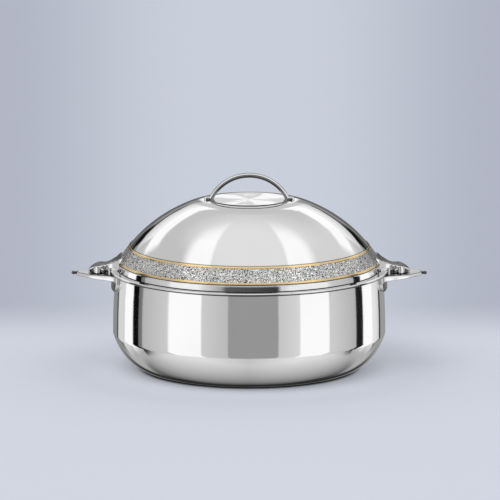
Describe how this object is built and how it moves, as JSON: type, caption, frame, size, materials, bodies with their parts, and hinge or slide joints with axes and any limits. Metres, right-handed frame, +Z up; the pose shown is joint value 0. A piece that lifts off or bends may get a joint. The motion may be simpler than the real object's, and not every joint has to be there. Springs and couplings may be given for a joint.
{
  "type": "insulated serving casserole with lid",
  "caption": "Double-walled insulated steel casserole for flatbread, with a domed lid that lifts straight off, cast side handles and a wire handle on the lid",
  "frame": {"origin": "centre of the foot ring's circle, in the plane it stands on, on the pot's axis", "axes": "+Z up along the pot's axis; +X through the right pot handle, as seen from the front; +Y away from the viewer of the front"},
  "size_m": [0.365, 0.2866, 0.2023],
  "materials": {
    "pot_steel": "mirror-polished stainless steel, spun",
    "bowl_steel": "satin stainless steel",
    "lid_steel": "mirror-polished stainless steel, spun",
    "cover_steel": "satin stainless steel",
    "cast_metal": "polished casting",
    "rod_steel": "polished steel rod",
    "fastener_steel": "bright zinc-plated steel",
    "foam": "rigid polyurethane foam, cell size under 1 mm",
    "plug_plastic": "black polyethylene",
    "band_foil": "etched foil with a silver filigree and a gold line along each edge"
  },
  "bodies": {
    "pot": {"outer_body": "pot_steel", "inner_bowl": "bowl_steel", "pot_insulation": "foam", "foam_filling_plug": "plug_plastic", "pot_handle_left": "cast_metal", "pot_handle_backing_plate_left": "fastener_steel", "pot_handle_screws_left": "fastener_steel", "pot_handle_right": "cast_metal", "pot_handle_backing_plate_right": "fastener_steel", "pot_handle_screws_right": "fastener_steel"},
    "lid": {"lid_dome": "lid_steel", "lid_inner_cover": "cover_steel", "lid_insulation": "foam", "decor_band": "band_foil", "lid_handle": "rod_steel", "lid_handle_rivets": "rod_steel", "lid_handle_washers": "fastener_steel", "lid_ear_left": "cast_metal", "lid_ear_backing_plate_left": "fastener_steel", "lid_ear_screws_left": "fastener_steel", "lid_ear_right": "cast_metal", "lid_ear_backing_plate_right": "fastener_steel", "lid_ear_screws_right": "fastener_steel"}
  },
  "joints": [
    {"name": "lid_lift", "type": "slide", "parent": "pot", "child": "lid", "axis": [0, 0, 1], "range_m": [0, 0.12]}
  ]
}
